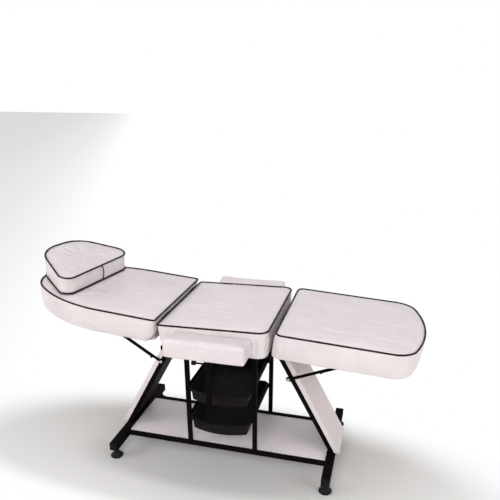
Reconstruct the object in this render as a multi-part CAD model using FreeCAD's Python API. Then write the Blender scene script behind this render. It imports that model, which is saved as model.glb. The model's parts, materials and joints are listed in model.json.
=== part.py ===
import FreeCAD, Part
import math
import os

# Eyelash extension bed, millimetres. Origin on the floor under the middle of the overall length.
# +X to the foot end, -Y to the side the trays pull out of, +Z up.
# Lengths along X are counted from the middle of the four feet, STANCE_X from the origin.

V = FreeCAD.Vector
UP = V(0, 0, 1)
ALONG = V(1, 0, 0)
ACROSS = V(0, 1, 0)
ORIGIN = V(0, 0, 0)

# Fits
RUNNING = 0.05       # radial play of a pin in its hole
FACE_GAP = 0.4       # play between faces that slide on each other
SEAT_GAP = 0.3       # soft piece over what carries it
OVERCUT = 1.0        # cutting block beyond the face it cuts

# Flats round a small turned piece and round a foot
SMALL_FLATS = 12
FOOT_FLATS = 16

# Base
STANCE_X = 45.6
BEAM = 40.0
BEAM_WALL = 2.0
BEAM_X = 520.0
BEAM_HALF_LENGTH = 300.0
CAP_FACE = 3.0
CAP_PLUG = 12.0
FOOT_HEIGHT = 48.0
FOOT_RADIUS = 30.0
FOOT_NECK_RADIUS = 12.0
FOOT_RIM = 9.0
FOOT_BELL = 36.0
FOOT_FLARE = ((0.5, 0.2), (0.15, 0.55), (0.0, 1.0))  # shares of the flare's width and rise
FOOT_Y = 275.0
STUD_RADIUS = 5.0
STUD_LENGTH = 14.0
TUBE = 20.0
TUBE_WALL = 1.5
TUBE_CORNER = 1.8   # flat broken on each outer corner
RAIL_Y = 172.5
RAIL_DROP = 3.0      # rail top below beam top
SHELF_THICKNESS = 16.0
SHELF_DROP = 8.0     # shelf top below rail top
POST_X = 163.0

# Slanted legs
LEG_FOOT_OUT = 7.0   # leg's middle line outside the beam's, at the beam's top
LEG_HEAD_X = 238.0
LEG_HALF_DEPTH = 104.0
PANEL_THICKNESS = 22.0
PANEL_LIFT = 4.0     # panel's lower edge above the beam
PANEL_SHORT = 17.0   # panel's upper edge below the seat frame
BACKING = 2.0

# Seat frame
FRAME_TOP = 637.0
FRAME_HALF_WIDTH = 260.0

# Cushions
PIPING_RADIUS = 3.5
PIPING_PLAY = 0.2
PIPING_FLAT = 3.0    # half the cord's flattened section
BOARD = 15.0
BOARD_INSET = 14.0
SIDE_TUCK = 6.0      # lower edge drawn in under the board
CROWN = 9.0
CROWN_INSET = 70.0
CROWN_SHARE = 0.75   # of the crown reached half way in
SMALL_CORNER = 45.0  # corners up to this keep their radius where an outline is moved in
CUT_CORNER = 14.0    # corners up to this radius are cut straight
SEAT_HEAD_X = -247.6
SEAT_FOOT_X = 243.0
SEAT_HALF_WIDTH = 287.5
SEAT_EDGE_HEAD = 748.0
SEAT_EDGE_FOOT = 761.0
SEAT_CORNER_HEAD = 12.0
SEAT_CORNER_FOOT = 40.0
SEAT_BEVEL_RUN = 25.0
SEAT_BEVEL_RISE = 54.0

# Backrest, drawn level and then tilted about its hinge
BACK_HINGE_X = -253.0
BACK_HINGE_Z = 748.0
BACK_TILT = 4.95
BACK_START = 258.4
BACK_TIP = 958.0
BACK_HALF_WIDTH = 285.0
BACK_OVAL = 430.0
BACK_TIP_RADIUS = 200.0
BACK_EDGE = 764.0
BACK_THICKNESS = 113.0
BACK_BEVEL_RUN = 36.0
BACK_BEVEL_RISE = 45.0
BACK_CORNER = 12.0

# Legrest, drawn level and then tilted about its hinge
LEGREST_HINGE_X = 256.0
LEGREST_HINGE_Z = 643.0
LEGREST_TILT = 3.4
LEGREST_START = 264.0
LEGREST_LOW_START = 250.0  # lower edge of the sloped start
LEGREST_TIP = 872.0
LEGREST_HALF_WIDTH = 287.0
LEGREST_BOW = 667.0
LEGREST_CORNER = 100.0
LEGREST_START_CORNER = 30.0
LEGREST_EDGE = 762.0
LEGREST_THICKNESS = 115.0

# Hinges
HINGE_Y = 170.0
HINGE_LENGTH = 60.0
LEAF = 3.0
BACK_LEAF = 2.0
LEAF_REACH = 80.0
PIN_RADIUS = 2.0
BACK_KNUCKLE = 3.5
LEGREST_KNUCKLE = 6.0
KNUCKLE_GAP = 0.6

# Struts
STRUT_WIDTH = 13.0
STRUT_PLATE = 4.0
STRUT_BOLT_RADIUS = 4.0
BOLT_HEAD_RADIUS = 8.0
BOLT_HEAD = 5.0
BOLT_DOME = ((0.85, 0.55), (0.45, 1.0))  # shares of the head's radius and height
BOLT_TAIL = 10.0
LUG_RADIUS = 11.0
LUG_PAST = 0.1       # lug's end set off from its bolt, so that it has a direction
BACK_PIVOT_X = -320.0
BACK_PIVOT_Z = 472.0
LEGREST_PIVOT_Z = 462.0
BACK_BRACKET_X = -611.0
BACK_BRACKET_DROP = 22.3
LEGREST_BRACKET_X = 624.0
LEGREST_BRACKET_DROP = 30.7
BRACKET_FOOT = 50.0
BRACKET_WIDTH = 24.0
BACK_LOWER = 315.0
BACK_UPPER = 305.0
LEGREST_LOWER = 192.0
LEGREST_UPPER = 184.0
SLOT_RADIUS = 2.5
SLOT_DEPTH = 2.5
SLOT_START = 60.0
SLOT_MARGIN = 20.0
PLUNGER_RADIUS = 6.0
PLUNGER = 9.0

# Armrests
ARM_X = 5.0
STEM_WALL = 1.5
STEM_PLAY = 0.5
STEM_BOTTOM = 358.0
SLEEVE_WALL = 2.0
SLEEVE_BOTTOM = 603.0
SLEEVE_TOP = 658.0
PAD_BOTTOM = 669.0
PAD_CLEAR = 3.5      # pad beside the seat cushion
PAD_WIDTH = 129.0
STEM_IN = 64.0       # stem's middle from the pad's inner side
PAD_INNER_TOP = 733.0
PAD_OUTER_TOP = 751.0
PAD_HALF_LENGTH = 174.0
PAD_END = 12.0
PAD_DRAW = 9.0       # pad's ends drawn in
PAD_LOWER_CORNER = 9.0
PAD_UPPER_CORNER = 17.0
PLATE = 4.0
PLATE_HALF_LENGTH = 60.0
PLATE_HALF_WIDTH = 40.0
KNOB_Z = 627.0
KNOB_FACE_X = -67.0
KNOB_LENGTH = 20.0
KNOB_RADIUS = 11.0
KNOB_NOSE = 8.25
KNOB_NECK = 6.6
SCREW_RADIUS = 4.0

# Trays
TRAY_HALF_WIDTH = 139.0
TRAY_BACK = 205.0
TRAY_BULGE = 32.0
TRAY_CORNER = 14.0
TRAY_DRAFT = 8.0
TRAY_WALL = 3.0
TRAY_DEPTH = 60.0
RIM = 9.0
RIM_THICKNESS = 3.0
UPPER_RIM = 406.0
LOWER_RIM = 249.0
RUNNER_LEG = 20.0
RUNNER_SHELF = 12.0
RUNNER_WALL = 2.0

# Pillow, lying on the backrest
PILLOW_X = -812.0
PILLOW_Y = 55.0
PILLOW_TURN = -11.0
PILLOW_CORNERS = (   # along, across and radius, before rounding
    (163.0, -287.0, 41.0),
    (136.0, 256.0, 74.0),
    (-165.0, 173.0, 130.0),
    (-165.0, -90.0, 200.0),
)
PILLOW_THICKNESS = 92.0
PILLOW_RISE = 5.6    # top plane rises to the head, degrees
PILLOW_CROWN = 10.0
PILLOW_CROWN_INSET = 46.0

BEAM_TOP = FOOT_HEIGHT + BEAM
RAIL_TOP = BEAM_TOP - RAIL_DROP
FRAME_BOTTOM = FRAME_TOP - TUBE
LEG_SLOPE = (BEAM_X + LEG_FOOT_OUT - LEG_HEAD_X) / (FRAME_BOTTOM - BEAM_TOP)
LEG_COSINE = 1.0 / math.hypot(1.0, LEG_SLOPE)
LEG_SIDE = TUBE / 2 + BACKING + STRUT_BOLT_RADIUS + FACE_GAP
LEGREST_PIVOT_X = LEG_HEAD_X + (FRAME_BOTTOM - LEGREST_PIVOT_Z) * LEG_SLOPE - LEG_SIDE / LEG_COSINE
PAD_INNER_Y = SEAT_HALF_WIDTH + PAD_CLEAR
PAD_OUTER_Y = PAD_INNER_Y + PAD_WIDTH
ARM_Y = PAD_INNER_Y + STEM_IN
LUG_FACE = LEG_HALF_DEPTH + STRUT_PLATE
LOWER_FACE = LUG_FACE + FACE_GAP
UPPER_FACE = LOWER_FACE + STRUT_PLATE + FACE_GAP
BRACKET_FACE = UPPER_FACE + STRUT_PLATE + FACE_GAP
BACK_BOTTOM = BACK_EDGE + PIPING_RADIUS - BACK_THICKNESS
LEGREST_BOTTOM = LEGREST_EDGE + PIPING_RADIUS - LEGREST_THICKNESS
RUNNER_FACE = POST_X - TUBE / 2

nodes = {}


def block(x0, x1, y0, y1, z0, z1):
    return Part.makeBox(x1 - x0, y1 - y0, z1 - z0, V(x0, y0, z0))


def mirrored(shape):
    return shape.mirror(ORIGIN, ACROSS)


def pair(shape):
    return Part.makeCompound([shape, mirrored(shape)])


def arc(start, middle, end):
    return Part.Arc(start, middle, end).toShape()


def line(start, end):
    return Part.makeLine(start, end)


def polar(centre, radius, angle):
    return V(centre.x + radius * math.cos(angle), centre.y + radius * math.sin(angle), 0)


def kept_radius(radius, inset):
    return radius if radius <= SMALL_CORNER else radius - inset


def corner(start, middle, end, radius):
    return line(start, end) if radius <= CUT_CORNER else arc(start, middle, end)


def rounded_polygon(corners, inset=0.0):
    # corners: (x, y, radius) counter-clockwise, each side moved in by inset
    count = len(corners)
    sides = []
    for i in range(count):
        a = V(corners[i][0], corners[i][1], 0)
        b = V(corners[(i + 1) % count][0], corners[(i + 1) % count][1], 0)
        run = (b - a).normalize()
        sides.append((a + V(-run.y, run.x, 0) * inset, run))
    bends = []
    for i in range(count):
        p, d = sides[i - 1]
        q, e = sides[i]
        cross = d.x * e.y - d.y * e.x
        gap = q - p
        vertex = p + d * ((gap.x * e.y - gap.y * e.x) / cross)
        turn = math.atan2(cross, d.x * e.x + d.y * e.y)
        radius = kept_radius(corners[i][2], inset)
        tangent = radius * math.tan(turn / 2)
        inward = (e - d).normalize()
        middle = vertex + inward * (radius / math.cos(turn / 2) - radius)
        bends.append((vertex - d * tangent, middle, vertex + e * tangent, corners[i][2]))
    edges = []
    for i in range(count):
        edges.append(corner(*bends[i]))
        edges.append(line(bends[i][2], bends[(i + 1) % count][0]))
    return Part.Wire(edges)


def ended_outline(start, start_radius, radius, end_radius, side, shoulder, touch, bend, tip):
    # straight end at start, sides along X to shoulder, curved end through touch points and tip
    low = V(shoulder, -side, 0)
    edges = [
        line(V(start + radius, -side, 0), low),
        corner(low, V(bend.x, -bend.y, 0), V(touch.x, -touch.y, 0), end_radius),
        arc(V(touch.x, -touch.y, 0), V(tip, 0, 0), touch),
        corner(touch, bend, V(shoulder, side, 0), end_radius),
        line(V(shoulder, side, 0), V(start + radius, side, 0)),
    ]
    near = V(start + radius, side - radius, 0)
    far = V(start + radius, radius - side, 0)
    middle = polar(near, radius, math.radians(135))
    edges.append(corner(V(near.x, side, 0), middle, V(start, near.y, 0), start_radius))
    edges.append(line(V(start, near.y, 0), V(start, far.y, 0)))
    middle = polar(far, radius, math.radians(225))
    edges.append(corner(V(start, far.y, 0), middle, V(far.x, -side, 0), start_radius))
    return Part.Wire(edges)


def bowed_outline(start, tip, half_width, start_radius, radius, bow, corner_radius, inset):
    # end bowed by a large arc with rounded corners
    centre = V(tip - bow, 0, 0)
    drop = half_width - corner_radius
    hub = V(centre.x + math.sqrt((bow - corner_radius) ** 2 - drop ** 2), drop, 0)
    swing = math.atan2(hub.y, hub.x - centre.x)
    touch = polar(centre, bow - inset, swing)
    bend = polar(hub, corner_radius - inset, (swing + math.pi / 2) / 2)
    side = half_width - inset
    start += inset
    return ended_outline(start, start_radius, radius, corner_radius, side, hub.x, touch, bend, tip - inset)


def oval_outline(start, tip, half_width, start_radius, oval, tip_radius, inset):
    # end drawn to an oval: two large side arcs and a tip arc, all tangent
    side_radius = (2 * oval * tip_radius - oval ** 2 - half_width ** 2) / (2 * tip_radius - 2 * half_width)
    hub = V(tip - oval, half_width - side_radius, 0)
    centre = V(tip - tip_radius, 0, 0)
    swing = math.atan2(centre.y - hub.y, centre.x - hub.x)
    touch = polar(centre, tip_radius - inset, swing)
    bend = polar(hub, side_radius - inset, (swing + math.pi / 2) / 2)
    side = half_width - inset
    radius = kept_radius(start_radius, inset)
    start += inset
    return ended_outline(start, start_radius, radius, side_radius, side, hub.x, touch, bend, tip - inset)


def seat_outline(inset):
    low = (SEAT_HEAD_X, -SEAT_HALF_WIDTH, SEAT_CORNER_HEAD)
    right = (SEAT_FOOT_X, -SEAT_HALF_WIDTH, SEAT_CORNER_FOOT)
    far = (SEAT_FOOT_X, SEAT_HALF_WIDTH, SEAT_CORNER_FOOT)
    left = (SEAT_HEAD_X, SEAT_HALF_WIDTH, SEAT_CORNER_HEAD)
    return rounded_polygon([low, right, far, left], inset)


def back_outline(inset):
    wire = oval_outline(
        BACK_START, BACK_TIP, BACK_HALF_WIDTH, BACK_CORNER, BACK_OVAL, BACK_TIP_RADIUS, inset
    )
    wire.rotate(ORIGIN, UP, 180)
    return wire


def legrest_outline(inset, start=LEGREST_START):
    radius = kept_radius(LEGREST_START_CORNER, inset)
    return bowed_outline(
        start, LEGREST_TIP, LEGREST_HALF_WIDTH, LEGREST_START_CORNER, radius,
        LEGREST_BOW, LEGREST_CORNER, inset
    )


def legrest_low_outline(inset):
    return legrest_outline(inset, LEGREST_LOW_START - SIDE_TUCK)


def pillow_outline(inset):
    return rounded_polygon(PILLOW_CORNERS, inset)


def tray_outline(inset):
    front = TRAY_BACK + TRAY_BULGE
    bow = (TRAY_HALF_WIDTH ** 2 + TRAY_BULGE ** 2) / (2 * TRAY_BULGE)
    radius = TRAY_CORNER - inset
    wire = bowed_outline(-TRAY_BACK, front, TRAY_HALF_WIDTH, TRAY_CORNER, radius, bow, TRAY_CORNER, inset)
    wire.rotate(ORIGIN, UP, -90)
    return wire


def laid(wire, height, tilt):
    wire.rotate(ORIGIN, ACROSS, -tilt)
    wire.translate(UP * height)
    return wire


def lofted(outline, sections):
    # sections: (inset, height, tilt) from the lowest up
    return Part.makeLoft([laid(outline(i), z, t) for i, z, t in sections], True, True)


def raised(outline, inset, low, high, tilt):
    return Part.Face(laid(outline(inset), low, tilt)).extrude(UP * (high - low))


def below(height, tilt, reach):
    # everything under a plane tilted like a laid outline
    half = block(-reach, reach, -reach, reach, -reach, 0)
    half.rotate(ORIGIN, ACROSS, -tilt)
    half.translate(UP * height)
    return half


def crowned(outline, ledge, edge, tilt, crown, crown_inset):
    # upright band inside the piping, then the crown
    inner = 2 * PIPING_RADIUS + PIPING_PLAY
    shoulder = edge + PIPING_RADIUS / 2
    band = raised(outline, inner, ledge, shoulder, tilt)
    return band.fuse(lofted(outline, [
        (inner, shoulder, tilt),
        ((inner + crown_inset) / 2, shoulder + crown * CROWN_SHARE, tilt),
        (crown_inset, shoulder + crown, tilt),
    ]))


def cushion(outline, low_outline, bottom, edge, tilt, crown, crown_inset):
    # sides from the tucked lower edge to the piping ledge, then the crowned top
    ledge = edge - PIPING_RADIUS - PIPING_PLAY
    tucked = laid(low_outline(SIDE_TUCK), bottom, 0)
    sides = Part.makeLoft([tucked, laid(outline(0), ledge, tilt)], True, True)
    return sides.fuse(crowned(outline, ledge, edge, tilt, crown, crown_inset))


def piping(outline, edge, tilt):
    # cord of flattened section laid along the outline
    near = PIPING_RADIUS - PIPING_FLAT
    far = PIPING_RADIUS + PIPING_FLAT
    low = edge - PIPING_FLAT
    high = edge + PIPING_FLAT
    return raised(outline, near, low, high, tilt).cut(raised(outline, far, low, high, tilt))


def boarded(outline, bottom):
    blank = Part.Face(laid(outline(BOARD_INSET), bottom, 0)).extrude(UP * BOARD)
    pocket = Part.Face(laid(outline(BOARD_INSET - SEAT_GAP), bottom, 0)).extrude(UP * (BOARD + SEAT_GAP))
    return blank, pocket


def wedge(points, half_width):
    # prism across the bed through (x, z) points
    corners = [V(x, -half_width, z) for x, z in points]
    face = Part.Face(Part.makePolygon(corners + [corners[0]]))
    return face.extrude(ACROSS * (2 * half_width))


def square_tube(length, size=TUBE, wall=TUBE_WALL):
    # along +Z from the origin, outer corners broken
    half = size / 2
    bore = half - wall
    skin = block(-half, half, -half, half, 0, length)
    upright = [e for e in skin.Edges if abs(e.tangentAt(e.FirstParameter).z) > 0.5]
    skin = skin.makeChamfer(TUBE_CORNER, upright)
    return skin.cut(block(-bore, bore, -bore, bore, 0, length))


def tube_along_x(x0, x1, y, z, size=TUBE, wall=TUBE_WALL):
    tube = square_tube(x1 - x0, size, wall)
    tube.rotate(ORIGIN, ACROSS, 90)
    tube.translate(V(x0, y, z))
    return tube


def tube_along_y(y0, y1, x, z, size=TUBE, wall=TUBE_WALL):
    tube = square_tube(y1 - y0, size, wall)
    tube.rotate(ORIGIN, ALONG, -90)
    tube.translate(V(x, y0, z))
    return tube


def tube_up(z0, z1, x, y, size=TUBE, wall=TUBE_WALL):
    tube = square_tube(z1 - z0, size, wall)
    tube.translate(V(x, y, z0))
    return tube


def leg_x(z):
    return LEG_HEAD_X + (FRAME_BOTTOM - z) * LEG_SLOPE


def leg_slab(inner, outer, y0, y1, z0, z1):
    # prism parallel to the foot-end leg, inner and outer counted square to its middle line
    near = inner / LEG_COSINE
    far = outer / LEG_COSINE
    corners = [V(leg_x(z0) + near, y0, z0), V(leg_x(z0) + far, y0, z0)]
    corners += [V(leg_x(z1) + far, y0, z1), V(leg_x(z1) + near, y0, z1)]
    return Part.Face(Part.makePolygon(corners + [corners[0]])).extrude(ACROSS * (y1 - y0))


def flat_bar(start, end, radius, y0, y1):
    # flat bar in the XZ plane, its clipped ends reaching radius beyond start and end
    run = (end - start).normalize()
    side = V(-run.z, 0, run.x) * radius
    nose = run * radius
    clip = math.tan(math.pi / 8)
    corners = []
    for spot, way in ((end, 1), (start, -1)):
        corners.append(spot + (nose * clip - side) * way)
        corners.append(spot + (nose - side * clip) * way)
        corners.append(spot + (nose + side * clip) * way)
        corners.append(spot + (nose * clip + side) * way)
    bar = Part.Face(Part.makePolygon(corners + [corners[0]])).extrude(ACROSS * (y1 - y0))
    bar.translate(ACROSS * y0)
    return bar


def pin(x, z, radius, y0, y1):
    return Part.makeCylinder(radius, y1 - y0, V(x, y0, z), ACROSS)


def faceted(profile, flats):
    # turned piece about Z with flats, from (radius, height) points, lowest first
    rings = []
    for radius, height in profile:
        ring = [polar(ORIGIN, radius, 2 * math.pi * i / flats) + UP * height for i in range(flats)]
        rings.append(ring)
    faces = [Part.Face(Part.makePolygon(ring + [ring[0]])) for ring in (rings[0], rings[-1])]
    for low, high in zip(rings, rings[1:]):
        for i in range(flats):
            corners = [low[i - 1], low[i], high[i], high[i - 1], low[i - 1]]
            faces.append(Part.Face(Part.makePolygon(corners)))
    return Part.Solid(Part.makeShell(faces))


def faceted_across(profile, x, y, z):
    # small faceted piece about Y with its start at y
    piece = faceted(profile, SMALL_FLATS)
    piece.rotate(ORIGIN, ALONG, -90)
    piece.translate(V(x, y, z))
    return piece


def clearance_radius(radius):
    # faceted hole that a round pin of this radius turns in
    return (radius + RUNNING) / math.cos(math.pi / SMALL_FLATS)


def barrel(x, z, radius, y0, y1):
    return faceted_across([(radius, 0), (radius, y1 - y0)], x, y0, z)


def dome_bolt(x, z, head_y, tail_y, radius):
    # shank along Y from tail_y to head_y, domed head beyond head_y
    length = head_y - tail_y
    profile = [(radius, 0), (radius, length), (BOLT_HEAD_RADIUS, length)]
    profile += [(BOLT_HEAD_RADIUS * wide, length + BOLT_HEAD * high) for wide, high in BOLT_DOME]
    return faceted_across(profile, x, tail_y, z)


def foot_beam(x):
    tube = tube_along_y(-BEAM_HALF_LENGTH, BEAM_HALF_LENGTH, x, FOOT_HEIGHT + BEAM / 2, BEAM, BEAM_WALL)
    for y in (-FOOT_Y, FOOT_Y):
        bore = clearance_radius(STUD_RADIUS)
        hole = faceted([(bore, 0), (bore, BEAM / 2)], SMALL_FLATS)
        hole.translate(V(x, y, FOOT_HEIGHT))
        tube = tube.cut(hole)
    return tube


def end_cap(x, side):
    half = BEAM / 2
    bore = half - BEAM_WALL - SEAT_GAP
    z = FOOT_HEIGHT + half
    face = block(x - half, x + half, 0, CAP_FACE, z - half, z + half)
    rim = [e for e in face.Edges if e.CenterOfMass.y > CAP_FACE - 1e-6]
    cap = face.makeChamfer(CAP_FACE / 2, rim)
    cap = cap.fuse(block(x - bore, x + bore, -CAP_PLUG, 0, z - bore, z + bore))
    cap.translate(ACROSS * BEAM_HALF_LENGTH)
    return cap if side > 0 else mirrored(cap)


def glide_foot(x, y):
    # flared bell on a neck, with the stud that screws into the beam
    collar = FOOT_HEIGHT - SEAT_GAP
    swell = FOOT_RADIUS - FOOT_NECK_RADIUS
    rise = FOOT_BELL - FOOT_RIM
    profile = [(FOOT_RADIUS, 0), (FOOT_RADIUS, FOOT_RIM)]
    profile += [(FOOT_NECK_RADIUS + swell * wide, FOOT_RIM + rise * high) for wide, high in FOOT_FLARE]
    profile += [(FOOT_NECK_RADIUS, collar)]
    foot = faceted(profile, FOOT_FLATS)
    foot = foot.fuse(Part.makeCylinder(STUD_RADIUS, SEAT_GAP + STUD_LENGTH, V(0, 0, collar)))
    foot.translate(V(x, y, 0))
    return foot


def leg_tubes(pivot):
    # two tubes at the foot end with the lugs for the strut bolts
    half = TUBE / 2
    bore = half - TUBE_WALL
    tubes = []
    outer = leg_slab(-half, half, -LEG_HALF_DEPTH, TUBE - LEG_HALF_DEPTH, BEAM_TOP, FRAME_BOTTOM)
    long_edges = [e for e in outer.Edges if e.Length > FRAME_BOTTOM - BEAM_TOP]
    outer = outer.makeChamfer(TUBE_CORNER, long_edges)
    near = TUBE_WALL - LEG_HALF_DEPTH
    bored = leg_slab(-bore, bore, near, near + 2 * bore, BEAM_TOP, FRAME_BOTTOM)
    root = V(leg_x(pivot.z), 0, pivot.z)
    lug = flat_bar(root, pivot - ALONG * LUG_PAST, LUG_RADIUS, -LUG_FACE, -LEG_HALF_DEPTH)
    hole = barrel(pivot.x, pivot.z, STRUT_BOLT_RADIUS + RUNNING, -LUG_FACE, -LEG_HALF_DEPTH + TUBE_WALL)
    tube = outer.cut(bored).fuse(lug).cut(hole)
    tubes.append(tube)
    tubes.append(mirrored(tube))
    return Part.makeCompound(tubes)


def to_head(shape):
    return shape.mirror(ORIGIN, ALONG)


def base():
    for name, sign in (("head", -1), ("foot", 1)):
        nodes["foot_beam_" + name] = foot_beam(sign * BEAM_X)
    caps = [end_cap(x, side) for x in (-BEAM_X, BEAM_X) for side in (-1, 1)]
    nodes["beam_end_caps"] = Part.makeCompound(caps)
    for end, sign in (("head", -1), ("foot", 1)):
        for side, way in (("front", -1), ("rear", 1)):
            nodes["glide_foot_" + end + "_" + side] = glide_foot(sign * BEAM_X, way * FOOT_Y)
            post = tube_up(RAIL_TOP, FRAME_BOTTOM, sign * POST_X, way * RAIL_Y)
            nodes["post_" + end + "_" + side] = post
    reach = BEAM_X - BEAM / 2
    for side, way in (("front", -1), ("rear", 1)):
        nodes["base_rail_" + side] = tube_along_x(-reach, reach, way * RAIL_Y, RAIL_TOP - TUBE / 2)
    shelf_side = RAIL_Y - TUBE / 2 - SEAT_GAP
    shelf_top = RAIL_TOP - SHELF_DROP
    shelf_end = reach - SEAT_GAP
    nodes["shelf_board"] = block(
        -shelf_end, shelf_end, -shelf_side, shelf_side, shelf_top - SHELF_THICKNESS, shelf_top
    )


def legs():
    half = TUBE / 2
    foot_pivot = V(LEGREST_PIVOT_X, 0, LEGREST_PIVOT_Z)
    head_pivot = V(-BACK_PIVOT_X, 0, BACK_PIVOT_Z)
    nodes["leg_tubes_foot"] = leg_tubes(foot_pivot)
    nodes["leg_tubes_head"] = to_head(leg_tubes(head_pivot))
    low = BEAM_TOP + PANEL_LIFT
    high = FRAME_BOTTOM - PANEL_SHORT
    panel = leg_slab(half, half + PANEL_THICKNESS, -LEG_HALF_DEPTH, LEG_HALF_DEPTH, low, high)
    backing = leg_slab(-half - BACKING, -half, -LEG_HALF_DEPTH, LEG_HALF_DEPTH, low, high)
    nodes["leg_panel_foot"] = panel
    nodes["leg_panel_head"] = to_head(panel)
    nodes["leg_backing_foot"] = backing
    nodes["leg_backing_head"] = to_head(backing)
    bolts = []
    for pivot in (foot_pivot, V(BACK_PIVOT_X, 0, BACK_PIVOT_Z)):
        head = LOWER_FACE + STRUT_PLATE + FACE_GAP
        bolt = dome_bolt(pivot.x, pivot.z, head, LEG_HALF_DEPTH - BOLT_TAIL, STRUT_BOLT_RADIUS)
        bolts.append(bolt)
        bolts.append(mirrored(bolt))
    nodes["strut_pivot_bolts"] = Part.makeCompound(bolts)


def seat_frame():
    middle = FRAME_TOP - TUBE / 2
    side = LEG_HEAD_X - TUBE / 2
    frame = tube_along_y(-FRAME_HALF_WIDTH, FRAME_HALF_WIDTH, LEG_HEAD_X, middle)
    frame = frame.fuse(tube_along_y(-FRAME_HALF_WIDTH, FRAME_HALF_WIDTH, -LEG_HEAD_X, middle))
    for y in (-RAIL_Y, RAIL_Y):
        frame = frame.fuse(tube_along_x(-side, side, y, middle))
    nodes["seat_frame"] = frame


def seat():
    bottom = FRAME_TOP + SEAT_GAP
    run = SEAT_FOOT_X - SEAT_HEAD_X
    tilt = math.degrees(math.atan((SEAT_EDGE_FOOT - SEAT_EDGE_HEAD) / run))
    edge = SEAT_EDGE_HEAD - SEAT_HEAD_X * (SEAT_EDGE_FOOT - SEAT_EDGE_HEAD) / run
    body = cushion(seat_outline, seat_outline, bottom, edge, tilt, CROWN, CROWN_INSET)
    far = SEAT_HEAD_X - SEAT_BEVEL_RUN
    low = bottom - OVERCUT
    high = bottom + SEAT_BEVEL_RISE
    near = SEAT_HEAD_X + SEAT_BEVEL_RUN
    width = BEAM_HALF_LENGTH
    bevel = wedge([(far, low), (near, low), (SEAT_HEAD_X, high), (far, high)], width)
    inner = near + BOARD
    clear = block(far, inner, -width, width, low, high)
    slack = block(far, inner + SEAT_GAP, -width, width, low, high)
    board, pocket = boarded(seat_outline, bottom)
    nodes["seat_cushion"] = body.cut(bevel).cut(pocket.cut(clear))
    nodes["seat_board"] = board.cut(slack)
    nodes["seat_piping"] = piping(seat_outline, edge, tilt)


def knuckles(x, z, radius, moving):
    # middle knuckle on the moving leaf, the two outer ones on the fixed leaf
    third = HINGE_LENGTH / 3
    inner = third / 2
    outer = HINGE_LENGTH / 2
    if moving:
        spans = [(-inner + KNUCKLE_GAP, inner - KNUCKLE_GAP)]
    else:
        spans = [(-outer, -inner), (inner, outer)]
    barrels = [barrel(x, z, radius, HINGE_Y + a, HINGE_Y + b) for a, b in spans]
    return barrels, spans


def hinge_leaf(x, z, radius, moving, plate, web):
    # plate: full-width strip; web: strip joining it to the barrel where the barrel belongs to this leaf
    # the pin is riveted into the fixed leaf's knuckles
    leaf = plate
    barrels, spans = knuckles(x, z, radius, moving)
    for knuckle, (a, b) in zip(barrels, spans):
        strip = web(HINGE_Y + a, HINGE_Y + b)
        leaf = leaf.fuse(strip).fuse(knuckle)
    near = HINGE_Y - HINGE_LENGTH / 2
    far = HINGE_Y + HINGE_LENGTH / 2
    if moving:
        return leaf.cut(pin(x, z, PIN_RADIUS + RUNNING, near, far))
    third = HINGE_LENGTH / 3
    return leaf.fuse(barrel(x, z, PIN_RADIUS, near + third, far - third))


def back_hinge():
    x, z = BACK_HINGE_X, BACK_HINGE_Z
    near, far = HINGE_Y - HINGE_LENGTH / 2, HINGE_Y + HINGE_LENGTH / 2
    clear = z - BACK_KNUCKLE - KNUCKLE_GAP
    face = -LEG_HEAD_X - TUBE / 2
    plate = block(face - BACK_LEAF, face, near, far, FRAME_BOTTOM + BACK_LEAF, clear)
    fixed = hinge_leaf(x, z, BACK_KNUCKLE, False, plate,
                       lambda a, b: block(face - BACK_LEAF, face, a, b, clear - BACK_LEAF, z))
    outer = x - (face - BACK_LEAF / 2 - x)
    left = outer - BACK_LEAF / 2
    strip = block(left, left + BACK_LEAF, near, far, BACK_BOTTOM - BACK_LEAF, clear)
    foot = block(left - LEAF_REACH, left + BACK_LEAF, near, far, BACK_BOTTOM - BACK_LEAF, BACK_BOTTOM)
    swung = hinge_leaf(x, z, BACK_KNUCKLE, True, strip.fuse(foot),
                       lambda a, b: block(left, left + BACK_LEAF, a, b, clear - BACK_LEAF, z))
    nodes["backrest_hinge_fixed_leaves"] = pair(fixed)
    return pair(swung)


def legrest_hinge():
    x, z = LEGREST_HINGE_X, LEGREST_HINGE_Z
    near, far = HINGE_Y - HINGE_LENGTH / 2, HINGE_Y + HINGE_LENGTH / 2
    face = LEG_HEAD_X + TUBE / 2
    clear = z - LEGREST_KNUCKLE - KNUCKLE_GAP
    plate = block(face, face + LEAF, near, far, FRAME_BOTTOM + LEAF, clear)
    fixed = hinge_leaf(x, z, LEGREST_KNUCKLE, False, plate,
                       lambda a, b: block(face, face + LEAF, a, b, clear - LEAF, z))
    start = x + LEGREST_KNUCKLE + KNUCKLE_GAP
    foot = block(start, start + LEAF_REACH, near, far, LEGREST_BOTTOM - LEAF, LEGREST_BOTTOM)
    swung = hinge_leaf(x, z, LEGREST_KNUCKLE, True, foot,
                       lambda a, b: block(x, start + LEAF, a, b, LEGREST_BOTTOM - LEAF, LEGREST_BOTTOM))
    nodes["legrest_hinge_fixed_leaves"] = pair(fixed)
    return pair(swung)


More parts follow.
